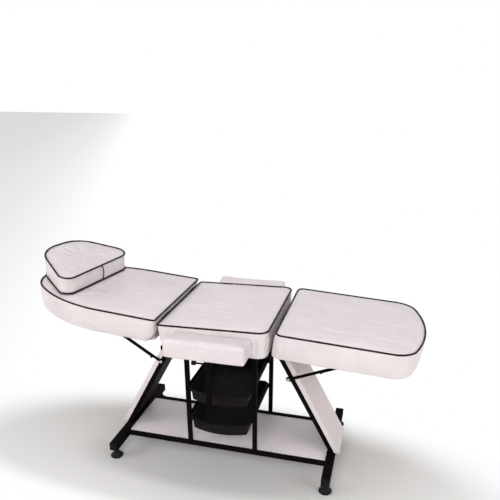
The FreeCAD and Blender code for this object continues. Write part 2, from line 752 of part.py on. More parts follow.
def strut_bracket(x, drop, bottom):
    # angle bracket under a section's board with the stud for the strut's upper eye
    half = BRACKET_FOOT / 2
    eye = V(x, 0, bottom - drop)
    top = V(x, 0, bottom - half / 2)
    plate = flat_bar(eye, top, BRACKET_WIDTH / 2, BRACKET_FACE, BRACKET_FACE + STRUT_PLATE)
    face = BRACKET_FACE
    reach = face + BRACKET_FOOT
    plate = plate.common(block(x - half, x + half, 0, reach, bottom - BRACKET_FOOT, bottom))
    foot = block(x - half, x + half, face, face + BRACKET_WIDTH, bottom - STRUT_PLATE, bottom)
    side = BRACKET_WIDTH / 2
    neck = block(x - side, x + side, face, face + STRUT_PLATE, bottom - half / 2, bottom)
    stud = dome_bolt(eye.x, eye.z, face + STRUT_PLATE, UPPER_FACE + FACE_GAP / 2, STRUT_BOLT_RADIUS)
    return pair(plate.fuse(neck).fuse(foot).fuse(stud))


def lower_strut(pivot, eye, length):
    run = (eye - pivot).normalize()
    bar = flat_bar(pivot, pivot + run * length, STRUT_WIDTH / 2, LOWER_FACE, LOWER_FACE + STRUT_PLATE)
    bar = bar.cut(pin(pivot.x, pivot.z, STRUT_BOLT_RADIUS + RUNNING, LOWER_FACE, LOWER_FACE + STRUT_PLATE))
    near = pivot + run * SLOT_START
    far = pivot + run * (length - SLOT_MARGIN)
    face = LOWER_FACE + STRUT_PLATE
    return pair(bar.cut(flat_bar(near, far, SLOT_RADIUS, face - SLOT_DEPTH, face)))


def upper_strut(pivot, eye, length):
    run = (pivot - eye).normalize()
    tip = eye + run * length
    face = UPPER_FACE + STRUT_PLATE
    bar = flat_bar(eye, tip, STRUT_WIDTH / 2, UPPER_FACE, face)
    bar = bar.cut(pin(eye.x, eye.z, STRUT_BOLT_RADIUS + RUNNING, UPPER_FACE, face))
    return pair(bar.fuse(barrel(tip.x, tip.z, PLUNGER_RADIUS, face, face + PLUNGER)))


def swing(shape, x, z, degrees):
    shape.rotate(V(x, 0, z), ACROSS, degrees)
    return shape


def section_eye(x, z, hinge_x, hinge_z, degrees):
    turn = math.radians(degrees)
    dx = x - hinge_x
    dz = z - hinge_z
    return V(hinge_x + dx * math.cos(turn) + dz * math.sin(turn), 0,
             hinge_z - dx * math.sin(turn) + dz * math.cos(turn))


def backrest():
    made = {}
    body = cushion(back_outline, back_outline, BACK_BOTTOM, BACK_EDGE, 0, CROWN, CROWN_INSET)
    end = -BACK_START
    near = end + BACK_BEVEL_RUN
    low = BACK_BOTTOM - OVERCUT
    high = BACK_BOTTOM + BACK_BEVEL_RISE
    width = BEAM_HALF_LENGTH
    bevel = wedge([(near, low), (near, high), (end, high), (end - BACK_BEVEL_RUN, low)], width)
    inner = end - BACK_BEVEL_RUN - BOARD
    clear = block(inner, near, -width, width, low, high)
    slack = block(inner - SEAT_GAP, near, -width, width, low, high)
    board, pocket = boarded(back_outline, BACK_BOTTOM)
    made["backrest_cushion"] = body.cut(bevel).cut(pocket.cut(clear))
    made["backrest_board"] = board.cut(slack)
    made["backrest_piping"] = piping(back_outline, BACK_EDGE, 0)
    made["backrest_hinge_leaves"] = back_hinge()
    made["backrest_strut_brackets"] = strut_bracket(BACK_BRACKET_X, BACK_BRACKET_DROP, BACK_BOTTOM)
    for name, shape in made.items():
        nodes[name] = swing(shape, BACK_HINGE_X, BACK_HINGE_Z, BACK_TILT)


def legrest():
    made = {}
    body = cushion(legrest_outline, legrest_low_outline, LEGREST_BOTTOM, LEGREST_EDGE, 0, CROWN, CROWN_INSET)
    board, pocket = boarded(legrest_outline, LEGREST_BOTTOM)
    made["legrest_cushion"] = body.cut(pocket)
    made["legrest_board"] = board
    made["legrest_piping"] = piping(legrest_outline, LEGREST_EDGE, 0)
    made["legrest_hinge_leaves"] = legrest_hinge()
    made["legrest_strut_brackets"] = strut_bracket(LEGREST_BRACKET_X, LEGREST_BRACKET_DROP, LEGREST_BOTTOM)
    for name, shape in made.items():
        nodes[name] = swing(shape, LEGREST_HINGE_X, LEGREST_HINGE_Z, LEGREST_TILT)


def struts():
    pivot = V(BACK_PIVOT_X, 0, BACK_PIVOT_Z)
    eye = section_eye(BACK_BRACKET_X, BACK_BOTTOM - BACK_BRACKET_DROP, BACK_HINGE_X, BACK_HINGE_Z, BACK_TILT)
    nodes["backrest_strut_lower"] = lower_strut(pivot, eye, BACK_LOWER)
    nodes["backrest_strut_upper"] = upper_strut(pivot, eye, BACK_UPPER)
    pivot = V(LEGREST_PIVOT_X, 0, LEGREST_PIVOT_Z)
    eye = section_eye(LEGREST_BRACKET_X, LEGREST_BOTTOM - LEGREST_BRACKET_DROP,
                      LEGREST_HINGE_X, LEGREST_HINGE_Z, LEGREST_TILT)
    nodes["legrest_strut_lower"] = lower_strut(pivot, eye, LEGREST_LOWER)
    nodes["legrest_strut_upper"] = upper_strut(pivot, eye, LEGREST_UPPER)


def pillow():
    low = BACK_EDGE + PIPING_RADIUS / 2 + CROWN + SEAT_GAP
    seam = low + PIPING_RADIUS + PIPING_PLAY
    edge = low + PILLOW_THICKNESS
    tilt = -PILLOW_RISE
    inner = 2 * PIPING_RADIUS + PIPING_PLAY
    shelf = seam + PIPING_RADIUS + PIPING_PLAY
    ledge = edge - PIPING_RADIUS - PIPING_PLAY
    base_pad = raised(pillow_outline, inner, low, shelf, 0)
    sides = raised(pillow_outline, 0, shelf, edge + PILLOW_THICKNESS, 0)
    sides = sides.common(below(ledge, tilt, PILLOW_THICKNESS + edge))
    top = crowned(pillow_outline, ledge, edge, tilt, PILLOW_CROWN, PILLOW_CROWN_INSET)
    rings = Part.makeCompound([piping(pillow_outline, seam, 0), piping(pillow_outline, edge, tilt)])
    for name, shape in (("pillow", base_pad.fuse(sides).fuse(top)), ("pillow_piping", rings)):
        shape.rotate(ORIGIN, UP, PILLOW_TURN)
        shape.translate(V(PILLOW_X, PILLOW_Y, 0))
        nodes[name] = swing(shape, BACK_HINGE_X, BACK_HINGE_Z, BACK_TILT)


def armrest_pad():
    corners = [
        (-PAD_OUTER_Y, PAD_BOTTOM, PAD_LOWER_CORNER),
        (-PAD_INNER_Y, PAD_BOTTOM, PAD_LOWER_CORNER),
        (-PAD_INNER_Y, PAD_INNER_TOP, PAD_UPPER_CORNER),
        (-PAD_OUTER_Y, PAD_OUTER_TOP, PAD_UPPER_CORNER),
    ]
    middle = PAD_HALF_LENGTH - PAD_END
    stations = [(-PAD_HALF_LENGTH, PAD_DRAW), (-middle, 0), (middle, 0), (PAD_HALF_LENGTH, PAD_DRAW)]
    wires = []
    for along, draw in stations:
        wire = rounded_polygon(corners, draw)
        wire.rotate(ORIGIN, V(1, 1, 1), 120)
        wire.translate(ALONG * (ARM_X + along))
        wires.append(wire)
    pad = Part.Face(wires[1]).extrude(ALONG * (2 * middle))
    for end in (wires[:2], wires[2:]):
        pad = pad.fuse(Part.makeLoft(end, True, True))
    return pad


def armrest_stem():
    top = PAD_BOTTOM - SEAT_GAP
    stem = tube_up(STEM_BOTTOM, top - PLATE, ARM_X, -ARM_Y, TUBE, STEM_WALL)
    half = TUBE / 2 - STEM_WALL
    plug = block(ARM_X - half, ARM_X + half, -ARM_Y - half, -ARM_Y + half, STEM_BOTTOM, STEM_BOTTOM + PLATE)
    plate = block(ARM_X - PLATE_HALF_LENGTH, ARM_X + PLATE_HALF_LENGTH, -ARM_Y - PLATE_HALF_WIDTH,
                  -ARM_Y + PLATE_HALF_WIDTH, top - PLATE, top)
    return stem.fuse(plug).fuse(plate)


def armrest_bracket():
    bore = TUBE + 2 * STEM_PLAY
    outer = bore + 2 * SLEEVE_WALL
    sleeve = tube_up(SLEEVE_BOTTOM, SLEEVE_TOP, ARM_X, -ARM_Y, outer, SLEEVE_WALL)
    arm = tube_along_y(-ARM_Y + outer / 2, -RAIL_Y - TUBE / 2, ARM_X, FRAME_TOP - TUBE / 2)
    bore = clearance_radius(SCREW_RADIUS)
    hole = faceted([(bore, 0), (bore, outer)], SMALL_FLATS)
    hole.rotate(ORIGIN, ACROSS, 90)
    hole.translate(V(ARM_X - outer, -ARM_Y, KNOB_Z))
    return sleeve.fuse(arm).cut(hole)


def armrest_knob():
    # grip with flats, on a screw that reaches through the sleeve's wall to the stem
    tip = ARM_X - TUBE / 2 - FACE_GAP
    quarter = KNOB_LENGTH / 4
    profile = [(KNOB_NOSE, 0), (KNOB_RADIUS, quarter), (KNOB_RADIUS, 3 * quarter), (KNOB_NECK, KNOB_LENGTH)]
    knob = faceted(profile, SMALL_FLATS)
    knob = knob.fuse(Part.makeCylinder(SCREW_RADIUS, tip - KNOB_FACE_X - KNOB_LENGTH, V(0, 0, KNOB_LENGTH)))
    knob.rotate(ORIGIN, ACROSS, 90)
    knob.translate(V(KNOB_FACE_X, -ARM_Y, KNOB_Z))
    return knob


def armrests():
    makers = {"pad": armrest_pad, "stem": armrest_stem, "bracket": armrest_bracket, "knob": armrest_knob}
    for name, make in makers.items():
        shape = make()
        nodes["armrest_" + name + "_front"] = shape
        nodes["armrest_" + name + "_rear"] = mirrored(shape)


def tray(rim_top):
    under = rim_top - RIM_THICKNESS
    floor = rim_top - TRAY_DEPTH
    shell = lofted(tray_outline, [(TRAY_DRAFT, floor, 0), (0, under, 0)])
    rim = Part.Face(laid(tray_outline(-RIM), under, 0)).extrude(UP * RIM_THICKNESS)
    lip_top = under - RIM_THICKNESS * 2
    lip = Part.Face(laid(tray_outline(-RIM), lip_top, 0)).extrude(UP * (under - lip_top))
    front = block(-POST_X, POST_X, -TRAY_BACK - TRAY_BULGE - 2 * RIM, -RAIL_Y - TUBE, lip_top, under)
    hollow = lofted(tray_outline, [(TRAY_DRAFT + TRAY_WALL, floor + TRAY_WALL, 0), (TRAY_WALL, rim_top, 0)])
    return shell.fuse(lip.common(front)).fuse(rim).cut(hollow)


def runner(rim_top, sign):
    top = rim_top - RIM_THICKNESS - FACE_GAP
    reach = RAIL_Y + TUBE / 2
    low = top - RUNNER_WALL
    rail = block(RUNNER_FACE - RUNNER_WALL, RUNNER_FACE, -reach, reach, low, low + RUNNER_LEG)
    rail = rail.fuse(block(RUNNER_FACE - RUNNER_SHELF, RUNNER_FACE, -reach, reach, low, top))
    return rail if sign > 0 else to_head(rail)


def trays():
    for name, rim_top in (("upper", UPPER_RIM), ("lower", LOWER_RIM)):
        nodes["tray_" + name] = tray(rim_top)
        for end, sign in (("head", -1), ("foot", 1)):
            nodes["tray_runner_" + name + "_" + end] = runner(rim_top, sign)


base()
legs()
seat_frame()
seat()
backrest()
legrest()
struts()
pillow()
armrests()
trays()

os.makedirs("parts", exist_ok=True)
for name, shape in nodes.items():
    shape.translate(ALONG * STANCE_X)
    shape.exportStep("parts/" + name + ".step")
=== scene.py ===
import json
import math

import bmesh
import bpy
from mathutils import Matrix, Vector, noise
from mathutils.kdtree import KDTree


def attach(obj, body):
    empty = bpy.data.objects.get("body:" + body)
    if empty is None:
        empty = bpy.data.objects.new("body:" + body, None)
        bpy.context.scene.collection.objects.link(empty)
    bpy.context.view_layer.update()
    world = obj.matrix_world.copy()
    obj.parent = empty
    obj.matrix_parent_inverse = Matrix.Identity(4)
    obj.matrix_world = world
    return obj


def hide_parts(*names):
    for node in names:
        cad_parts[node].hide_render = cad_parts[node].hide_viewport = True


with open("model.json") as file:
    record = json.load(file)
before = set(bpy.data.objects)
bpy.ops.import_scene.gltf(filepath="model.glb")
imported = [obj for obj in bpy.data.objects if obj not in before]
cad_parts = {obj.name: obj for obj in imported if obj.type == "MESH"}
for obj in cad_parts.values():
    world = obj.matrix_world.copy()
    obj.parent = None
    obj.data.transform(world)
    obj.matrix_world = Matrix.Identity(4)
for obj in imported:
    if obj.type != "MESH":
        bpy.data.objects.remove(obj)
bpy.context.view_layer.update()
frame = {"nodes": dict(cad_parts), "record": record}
cad_nodes = frame["nodes"]
scene = bpy.context.scene
scene.view_settings.view_transform = "Standard"

# Sizes are in mm unless a comment says otherwise
MM = 0.001
STANCE_X = 45.6      # from the frame's origin to the middle of the four feet
VOXEL = 6.5          # between points of a simulated cover
PAD_VOXEL = 5.0
PATH_STEP = 5.0      # between points along an outline
SMALL_CORNER = 45.0  # corners up to this keep their radius where an outline is moved in
PIPING_RADIUS = 4.0
PIPING_SIDES = 10
PIPING_RIPPLE = 0.12
CORD_INSET = 2.2
CORD_RISE = 1.2
SEAM_INSET = 3.6
SEAM_HELD = 4.5      # cover points this near a seam stay put
SIM_FRAMES = 20
COVER_PRESSURE = 4.0
PAD_PRESSURE = 5.0

# Cushions, counted along X from the middle of the four feet
BOARD_INSET = 14.0
BOARD = 15.0
SIDE_TUCK = 6.0      # how far the sides pull in at the lower edge
CROWN = 6.0
COVER_LIFT = 2.8     # how far the simulation may raise a cover
CEILING = 8.8        # highest point of a cover above its edge, before the creases
END_CORNER = 12.0    # corners where seat and backrest meet
SEAT_START, SEAT_END, SEAT_SIDE, SEAT_CORNER = -247.6, 243.0, 287.5, 40.0
BACK_START = 258.4
SEAT = dict(bottom=637.3, edge=754.561, tilt=1.5179)
BACK = dict(bottom=654.5, edge=764.0, tilt=0.0)
LEGREST = dict(bottom=650.5, edge=762.0, tilt=0.0)
BACK_HINGE = Vector((-253.0, 0, 748.0))
LEGREST_HINGE = Vector((256.0, 0, 643.0))
BACK_TILT = 4.95
LEGREST_TILT = 3.4
FOOT_X, FOOT_Y = 520.0, 275.0
KNOB_X, KNOB_Y, KNOB_Z = -67.0, 355.0, 627.0
BOLT_SPOTS = ((303.99, 462.0), (-320.0, 472.0))
BOLT_Y = 94.0
PILLOW = dict(x=-812.0, y=55.0, turn=-11.0, low=775.05, thickness=92.0, rise=5.6)

SHIFT = Matrix.Translation((STANCE_X * MM, 0, 0))


def hinged(hinge, degrees):
    there = Matrix.Translation(hinge * MM)
    return SHIFT @ there @ Matrix.Rotation(math.radians(degrees), 4, "Y") @ there.inverted()


AT_SEAT = SHIFT
AT_BACK = hinged(BACK_HINGE, BACK_TILT)
AT_LEGREST = hinged(LEGREST_HINGE, LEGREST_TILT)
AT_PILLOW = AT_BACK @ Matrix.Translation((PILLOW["x"] * MM, PILLOW["y"] * MM, 0)) \
    @ Matrix.Rotation(math.radians(PILLOW["turn"]), 4, "Z")


# Outlines: lists of ("line", start, end) and ("arc", centre, radius, first angle, last angle)
def piece_length(piece):
    if piece[0] == "line":
        return math.dist(piece[1], piece[2])
    return abs(piece[2] * (piece[4] - piece[3]))


def sampled(pieces, counts):
    points = []
    for piece, count in zip(pieces, counts):
        for i in range(count):
            t = i / count
            if piece[0] == "line":
                a, b = piece[1], piece[2]
                points.append((a[0] + (b[0] - a[0]) * t, a[1] + (b[1] - a[1]) * t))
            else:
                angle = piece[3] + (piece[4] - piece[3]) * t
                (x, y), radius = piece[1], piece[2]
                points.append((x + radius * math.cos(angle), y + radius * math.sin(angle)))
    return points


def polygon_pieces(corners, inset):
    count = len(corners)
    sides = []
    for i in range(count):
        ax, ay, _ = corners[i]
        bx, by, _ = corners[(i + 1) % count]
        run = Vector((bx - ax, by - ay)).normalized()
        sides.append((Vector((ax, ay)) + Vector((-run.y, run.x)) * inset, run))
    bends = []
    for i in range(count):
        p, d = sides[i - 1]
        q, e = sides[i]
        cross = d.x * e.y - d.y * e.x
        gap = q - p
        vertex = p + d * ((gap.x * e.y - gap.y * e.x) / cross)
        turn = math.atan2(cross, d.dot(e))
        radius = corners[i][2] if corners[i][2] <= SMALL_CORNER else corners[i][2] - inset
        start = vertex - d * radius * math.tan(turn / 2)
        centre = start + Vector((-d.y, d.x)) * radius
        first = math.atan2(start.y - centre.y, start.x - centre.x)
        bends.append((centre, radius, first, first + turn))
    pieces = []
    for i in range(count):
        centre, radius, first, last = bends[i]
        end = centre + Vector((math.cos(last), math.sin(last))) * radius
        ahead_centre, ahead_radius, ahead, _ = bends[(i + 1) % count]
        ahead_start = ahead_centre + Vector((math.cos(ahead), math.sin(ahead))) * ahead_radius
        pieces.append(("arc", tuple(centre), radius, first, last))
        pieces.append(("line", tuple(end), tuple(ahead_start)))
    return pieces


def ended_pieces(start, corner, side, hub, hub_radius, centre, radius, swing):
    # straight end at start, sides along X, curved end of two shoulder arcs and one tip arc
    quarter = math.pi / 2
    return [
        ("line", (start + corner, -side), (hub[0], -side)),
        ("arc", (hub[0], -hub[1]), hub_radius, -quarter, -swing),
        ("arc", (centre, 0), radius, -swing, swing),
        ("arc", hub, hub_radius, swing, quarter),
        ("line", (hub[0], side), (start + corner, side)),
        ("arc", (start + corner, side - corner), corner, quarter, math.pi),
        ("line", (start, side - corner), (start, corner - side)),
        ("arc", (start + corner, corner - side), corner, math.pi, 3 * quarter),
    ]


def seat_pieces(inset):
    corners = [(SEAT_START, -SEAT_SIDE, END_CORNER), (SEAT_END, -SEAT_SIDE, SEAT_CORNER),
               (SEAT_END, SEAT_SIDE, SEAT_CORNER), (SEAT_START, SEAT_SIDE, END_CORNER)]
    return polygon_pieces(corners, inset)


def legrest_pieces(inset):
    start, start_corner, tip, side, bow, corner = 264.0, 30.0, 872.0, 287.0, 667.0, 100.0
    centre = tip - bow
    drop = side - corner
    hub = (centre + math.sqrt((bow - corner) ** 2 - drop ** 2), drop)
    swing = math.atan2(hub[1], hub[0] - centre)
    return ended_pieces(start + inset, start_corner, side - inset, hub, corner - inset, centre,
                        bow - inset, swing)


def back_pieces(inset):
    tip, side, oval, tip_radius = 958.0, 285.0, 430.0, 200.0
    hub_radius = (2 * oval * tip_radius - oval ** 2 - side ** 2) / (2 * tip_radius - 2 * side)
    hub = (tip - oval, side - hub_radius)
    centre = tip - tip_radius
    swing = math.atan2(-hub[1], centre - hub[0])
    return ended_pieces(BACK_START + inset, END_CORNER, side - inset, hub, hub_radius - inset, centre,
                        tip_radius - inset, swing)


def pillow_pieces(inset):
    return polygon_pieces([(163, -287, 41), (136, 256, 74), (-165, 173, 130), (-165, -90, 200)], inset)


class Outline:
    def __init__(self, pieces, step, turned=False):
        self.pieces = pieces
        self.counts = [max(2, round(piece_length(p) / step)) for p in pieces(0.0)]
        self.sign = -1.0 if turned else 1.0

    def ring(self, inset, height, tilt=0.0):
        # level ring tilted about the Y axis through X = 0, in metres
        c, s = math.cos(math.radians(tilt)), math.sin(math.radians(tilt))
        found = sampled(self.pieces(inset), self.counts)
        return [Vector((self.sign * x * c * MM, self.sign * y * MM, (height + self.sign * x * s) * MM))
                for x, y in found]


def new_object(name, mesh):
    made = bpy.data.objects.new(name, mesh)
    scene.collection.objects.link(made)
    return made


def skin(name, rings):
    # closed skin through rings of equal count, first and last ring capped
    mesh = bmesh.new()
    rows = [[mesh.verts.new(p) for p in ring] for ring in rings]
    count = len(rows[0])
    for low, high in zip(rows, rows[1:]):
        for i in range(count):
            j = (i + 1) % count
            mesh.faces.new((low[i], low[j], high[j], high[i]))
    mesh.faces.new(list(reversed(rows[0])))
    mesh.faces.new(rows[-1])
    bmesh.ops.recalc_face_normals(mesh, faces=mesh.faces)
    data = bpy.data.meshes.new(name)
    mesh.to_mesh(data)
    mesh.free()
    return data


def remeshed(name, data, voxel):
    # even skin of the same form
    rough = new_object(name + "_rough", data)
    mod = rough.modifiers.new("even", "REMESH")
    mod.mode = "VOXEL"
    mod.voxel_size = voxel * MM
    bpy.context.view_layer.update()
    graph = bpy.context.evaluated_depsgraph_get()
    even = bpy.data.meshes.new_from_object(rough.evaluated_get(graph))
    bpy.data.objects.remove(rough)
    even.name = name
    return even


def inflate(cover, held, pressure, side_cap, cap, slack):
    # air pressure inside the cover, held points staying put, moves limited sideways and up
    rest = [v.co.copy() for v in cover.data.vertices]
    group = cover.vertex_groups.new(name="held")
    group.add(held, 1.0, "REPLACE")
    mod = cover.modifiers.new("air", "CLOTH")
    cloth = mod.settings
    cloth.vertex_group_mass = "held"
    cloth.use_pressure = True
    cloth.uniform_pressure_force = pressure
    cloth.quality = 4
    cloth.mass = 0.35
    cloth.tension_stiffness = 12
    cloth.compression_stiffness = 12
    cloth.shear_stiffness = 6
    cloth.bending_stiffness = 0.4
    cloth.shrink_min = -slack
    cloth.effector_weights.gravity = 0.0
    mod.collision_settings.use_collision = False
    mod.point_cache.frame_start = 1
    mod.point_cache.frame_end = SIM_FRAMES
    for step in range(1, SIM_FRAMES + 1):
        scene.frame_set(step)
    graph = bpy.context.evaluated_depsgraph_get()
    swollen = [v.co.copy() for v in cover.evaluated_get(graph).data.vertices]
    cover.modifiers.remove(mod)
    cover.vertex_groups.remove(group)
    scene.frame_set(1)
    for v, was, now in zip(cover.data.vertices, rest, swollen):
        move = now - was
        aside = Vector((move.x, move.y, 0))
        if aside.length > side_cap * MM:
            aside *= side_cap * MM / aside.length
        lift = max(-cap * MM, min(cap * MM, move.z))
        v.co = was + aside + Vector((0, 0, lift))


def relaxed(data, rounds, fixed):
    # evens out the skin between the fixed points
    mesh = bmesh.new()
    mesh.from_mesh(data)
    mesh.verts.ensure_lookup_table()
    free = [v for v in mesh.verts if v.index not in fixed]
    for _ in range(rounds):
        bmesh.ops.smooth_vert(mesh, verts=free, factor=0.5,
                              use_axis_x=True, use_axis_y=True, use_axis_z=True)
    mesh.to_mesh(data)
    mesh.free()


def tree_of(points):
    tree = KDTree(len(points))
    for i, p in enumerate(points):
        tree.insert(p, i)
    tree.balance()
    return tree


def smooth_shaded(data):
    for face in data.polygons:
        face.use_smooth = True


def tube(name, path, radius, sides=PIPING_SIDES, closed=True, ripple=0.0):
    # round cord along a path, its roundness a little uneven
    mesh = bmesh.new()
    rows = []
    count = len(path)
    side = None
    for i, p in enumerate(path):
        before = path[i - 1] if closed or i else p
        after = path[(i + 1) % count] if closed or i + 1 < count else p
        ahead = (after - before).normalized()
        if side is None:
            across = Vector((0, 0, 1)) if abs(ahead.z) < 0.9 else Vector((1, 0, 0))
            side = ahead.cross(across)
        side = (side - ahead * side.dot(ahead)).normalized()
        up = side.cross(ahead)
        wide = radius * MM * (1.0 + ripple * noise.noise(p * 60.0))
        row = []
        for k in range(sides):
            angle = 2 * math.pi * k / sides
            row.append(mesh.verts.new(p + (side * math.cos(angle) + up * math.sin(angle)) * wide))
        rows.append(row)
    spans = list(zip(rows, rows[1:]))
    if closed:
        spans.append((rows[-1], rows[0]))
    for a, b in spans:
        for k in range(sides):
            n = (k + 1) % sides
            mesh.faces.new((a[k], a[n], b[n], b[k]))
    if not closed:
        mesh.faces.new(list(reversed(rows[0])))
        mesh.faces.new(rows[-1])
    bmesh.ops.recalc_face_normals(mesh, faces=mesh.faces)
    data = bpy.data.meshes.new(name)
    mesh.to_mesh(data)
    mesh.free()
    smooth_shaded(data)
    return new_object(name, data)


# Materials
def material(name):
    made = bpy.data.materials.new(name)
    made.use_nodes = True
    tree = made.node_tree
    shader = tree.nodes["Principled BSDF"]
    return made, tree, shader


def node(tree, kind, **values):
    made = tree.nodes.new(kind)
    for key, value in values.items():
        setattr(made, key, value)
    return made


def place_coords(tree):
    return node(tree, "ShaderNodeTexCoord").outputs["Object"]


def noise_field(tree, coords, scale, detail=3.0, rough=0.55, distortion=0.0):
    made = node(tree, "ShaderNodeTexNoise")
    made.inputs["Scale"].default_value = scale
    made.inputs["Detail"].default_value = detail
    made.inputs["Roughness"].default_value = rough
    made.inputs["Distortion"].default_value = distortion
    tree.links.new(coords, made.inputs["Vector"])
    return made.outputs["Fac"]


def ramp(tree, value, stops):
    made = node(tree, "ShaderNodeValToRGB")
    while len(made.color_ramp.elements) < len(stops):
        made.color_ramp.elements.new(0.5)
    for element, (spot, colour) in zip(made.color_ramp.elements, stops):
        element.position = spot
        element.color = (*colour, 1.0)
    tree.links.new(value, made.inputs["Fac"])
    return made.outputs["Color"]


def spread(tree, value, low, high, start=0.0, end=1.0):
    made = node(tree, "ShaderNodeMapRange")
    made.inputs["From Min"].default_value = start
    made.inputs["From Max"].default_value = end
    made.inputs["To Min"].default_value = low
    made.inputs["To Max"].default_value = high
    tree.links.new(value, made.inputs["Value"])
    return made.outputs["Result"]


def bumped(tree, shader, height, strength, distance, below=None):
    made = node(tree, "ShaderNodeBump")
    made.inputs["Strength"].default_value = strength
    made.inputs["Distance"].default_value = distance
    tree.links.new(height, made.inputs["Height"])
    if below is not None:
        tree.links.new(below, made.inputs["Normal"])
    tree.links.new(made.outputs["Normal"], shader.inputs["Normal"])
    return made.outputs["Normal"]


def coated_fabric(name, pale, deep, rough):
    # white coated upholstery cloth: fine pebble grain, faint creases, uneven gloss, and lighter diagonal
    # streaks in the colour that are painted highlights
    made, tree, shader = material(name)
    coords = place_coords(tree)
    cloud = noise_field(tree, coords, 5.0, 4.0, 0.6, 0.4)
    colour = ramp(tree, cloud, [(0.30, deep), (0.62, pale)])
    gloss = noise_field(tree, coords, 14.0, 3.0)
    tree.links.new(spread(tree, gloss, rough - 0.07, rough + 0.08, 0.3, 0.7), shader.inputs["Roughness"])
    crease = noise_field(tree, coords, 22.0, 4.0, 0.55, 1.2)
    first = bumped(tree, shader, crease, 0.22, 0.004)
    turned = node(tree, "ShaderNodeMapping")
    turned.inputs["Rotation"].default_value = (0.0, 0.0, math.radians(-24))
    turned.inputs["Scale"].default_value = (5.0, 24.0, 5.0)
    tree.links.new(coords, turned.inputs["Vector"])
    streak = noise_field(tree, turned.outputs["Vector"], 1.0, 4.0, 0.6, 0.8)
    first = bumped(tree, shader, streak, 0.30, 0.010, first)
    # diagonal streaks multiplied into the colour: painted highlights of glossy wrinkles
    streak_highlight_mix = node(tree, "ShaderNodeMix", data_type="RGBA", blend_type="MULTIPLY")
    streak_highlight_mix.inputs["Factor"].default_value = 1.0
    tree.links.new(colour, streak_highlight_mix.inputs["A"])
    painted_streak_highlight = ramp(tree, streak, [(0.36, (0.955, 0.95, 0.955)), (0.62, (1.0, 1.0, 1.0))])
    tree.links.new(painted_streak_highlight, streak_highlight_mix.inputs["B"])
    tree.links.new(streak_highlight_mix.outputs["Result"], shader.inputs["Base Color"])
    cells = node(tree, "ShaderNodeTexVoronoi", feature="SMOOTH_F1")
    cells.inputs["Scale"].default_value = 520.0
    tree.links.new(coords, cells.inputs["Vector"])
    bumped(tree, shader, cells.outputs["Distance"], 0.12, 0.0006, first)
    shader.inputs["Specular IOR Level"].default_value = 0.42
    shader.inputs["Sheen Weight"].default_value = 0.08
    return made


def satin_black(name, colour, edge, rough, grain, specular):
    # coated metal or moulded plastic: fine orange peel, a little dust and rub
    made, tree, shader = material(name)
    coords = place_coords(tree)
    dust = noise_field(tree, coords, 9.0, 5.0, 0.65)
    tree.links.new(ramp(tree, dust, [(0.42, colour), (0.78, edge)]), shader.inputs["Base Color"])
    patch = noise_field(tree, coords, 26.0, 3.0)
    tree.links.new(spread(tree, patch, rough - 0.06, rough + 0.1, 0.3, 0.7), shader.inputs["Roughness"])
    peel = noise_field(tree, coords, grain, 2.0)
    bumped(tree, shader, peel, 0.18, 0.0004)
    shader.inputs["Specular IOR Level"].default_value = specular
    return made


def laminate(name, deep, pale):
    # white melamine board: near-even tone with a faint fleck and a soft sheen
    made, tree, shader = material(name)
    coords = place_coords(tree)
    fleck = noise_field(tree, coords, 180.0, 2.0, 0.7)
    cloud = noise_field(tree, coords, 3.0, 3.0)
    both = node(tree, "ShaderNodeMath", operation="MULTIPLY")
    tree.links.new(fleck, both.inputs[0])
    tree.links.new(cloud, both.inputs[1])
    tree.links.new(ramp(tree, both.outputs["Value"], [(0.12, deep), (0.38, pale)]), shader.inputs["Base Color"])
    tree.links.new(spread(tree, cloud, 0.36, 0.5, 0.3, 0.7), shader.inputs["Roughness"])
    bumped(tree, shader, fleck, 0.06, 0.0003)
    shader.inputs["Specular IOR Level"].default_value = 0.4
    return made


def birch(name):
    # plywood: long grain with darker growth lines
    made, tree, shader = material(name)
    coords = place_coords(tree)
    stretch = node(tree, "ShaderNodeMapping")
    stretch.inputs["Scale"].default_value = (1.0, 14.0, 14.0)
    tree.links.new(coords, stretch.inputs["Vector"])
    grain = noise_field(tree, stretch.outputs["Vector"], 6.0, 6.0, 0.6, 1.5)
    colour = ramp(tree, grain, [(0.32, (0.42, 0.27, 0.14)), (0.6, (0.62, 0.45, 0.27))])
    tree.links.new(colour, shader.inputs["Base Color"])
    tree.links.new(spread(tree, grain, 0.5, 0.72), shader.inputs["Roughness"])
    bumped(tree, shader, grain, 0.2, 0.0006)
    return made


def zinc(name):
    # bright plated steel with fine turning marks
    made, tree, shader = material(name)
    coords = place_coords(tree)
    marks = noise_field(tree, coords, 900.0, 2.0)
    colour = ramp(tree, marks, [(0.3, (0.40, 0.40, 0.41)), (0.7, (0.60, 0.60, 0.60))])
    tree.links.new(colour, shader.inputs["Base Color"])
    tree.links.new(spread(tree, marks, 0.2, 0.38), shader.inputs["Roughness"])
    shader.inputs["Metallic"].default_value = 1.0
    return made


white = coated_fabric("upholstery_white", (0.675, 0.618, 0.624), (0.62, 0.563, 0.578), 0.36)
cord_black = satin_black("piping_black", (0.010, 0.006, 0.006), (0.018, 0.012, 0.012), 0.5, 420.0, 0.10)
frame_black = satin_black("frame_black", (0.0035, 0.0024, 0.0024), (0.006, 0.0045, 0.0045), 0.6, 320.0, 0.02)
tray_black = satin_black("plastic_black", (0.0095, 0.0078, 0.0082), (0.018, 0.0165, 0.017), 0.42, 650.0, 0.02)
foot_black = satin_black("foot_black", (0.006, 0.005, 0.005), (0.012, 0.011, 0.011), 0.5, 380.0, 0.10)
board_white = laminate("laminate_white", (0.82, 0.75, 0.79), (0.93, 0.86, 0.90))
